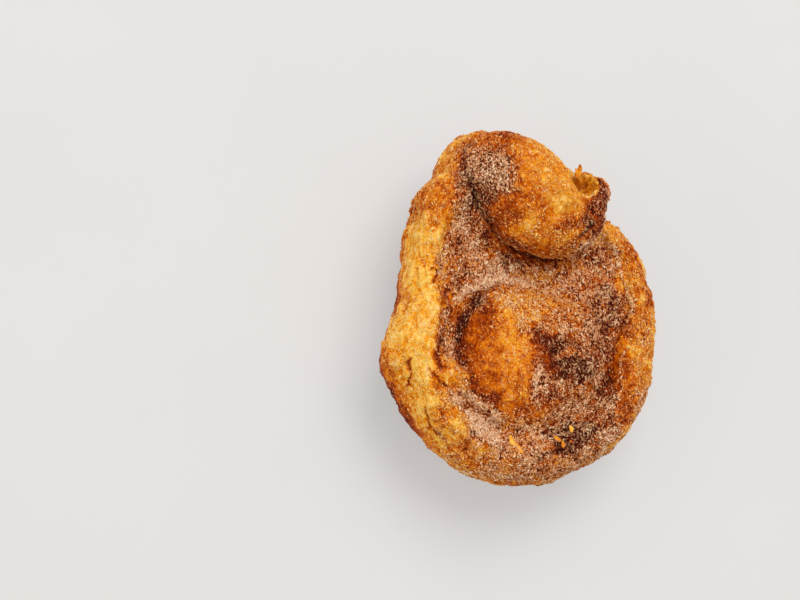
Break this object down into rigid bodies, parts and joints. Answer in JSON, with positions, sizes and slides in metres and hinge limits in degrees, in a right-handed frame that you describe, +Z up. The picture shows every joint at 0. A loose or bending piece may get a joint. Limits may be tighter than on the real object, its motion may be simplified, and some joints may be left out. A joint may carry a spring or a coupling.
{
  "type": "cinnamon sugar bun",
  "caption": "Cup-baked laminated dough bun rolled in cinnamon sugar, with a thick rim, a domed heart and a folded crown torn open at its loose end.",
  "frame": {"origin": "centre of the round flat foot that the bun lies on", "axes": "+Z up out of the face of the bun, +Y from the foot's centre towards the folded crown, +X to the right seen from above"},
  "size_m": [0.0884, 0.1102, 0.0556],
  "materials": {
    "crust": "browned flaky crust under a rough coat of cinnamon sugar crystals",
    "sugar": "loose sugar crystals, clear to cinnamon-stained, sparkling",
    "crumb": "torn open crumb and loose flakes, soft and matt"
  },
  "bodies": {
    "root": {"bun": "crust"}
  },
  "joints": []
}
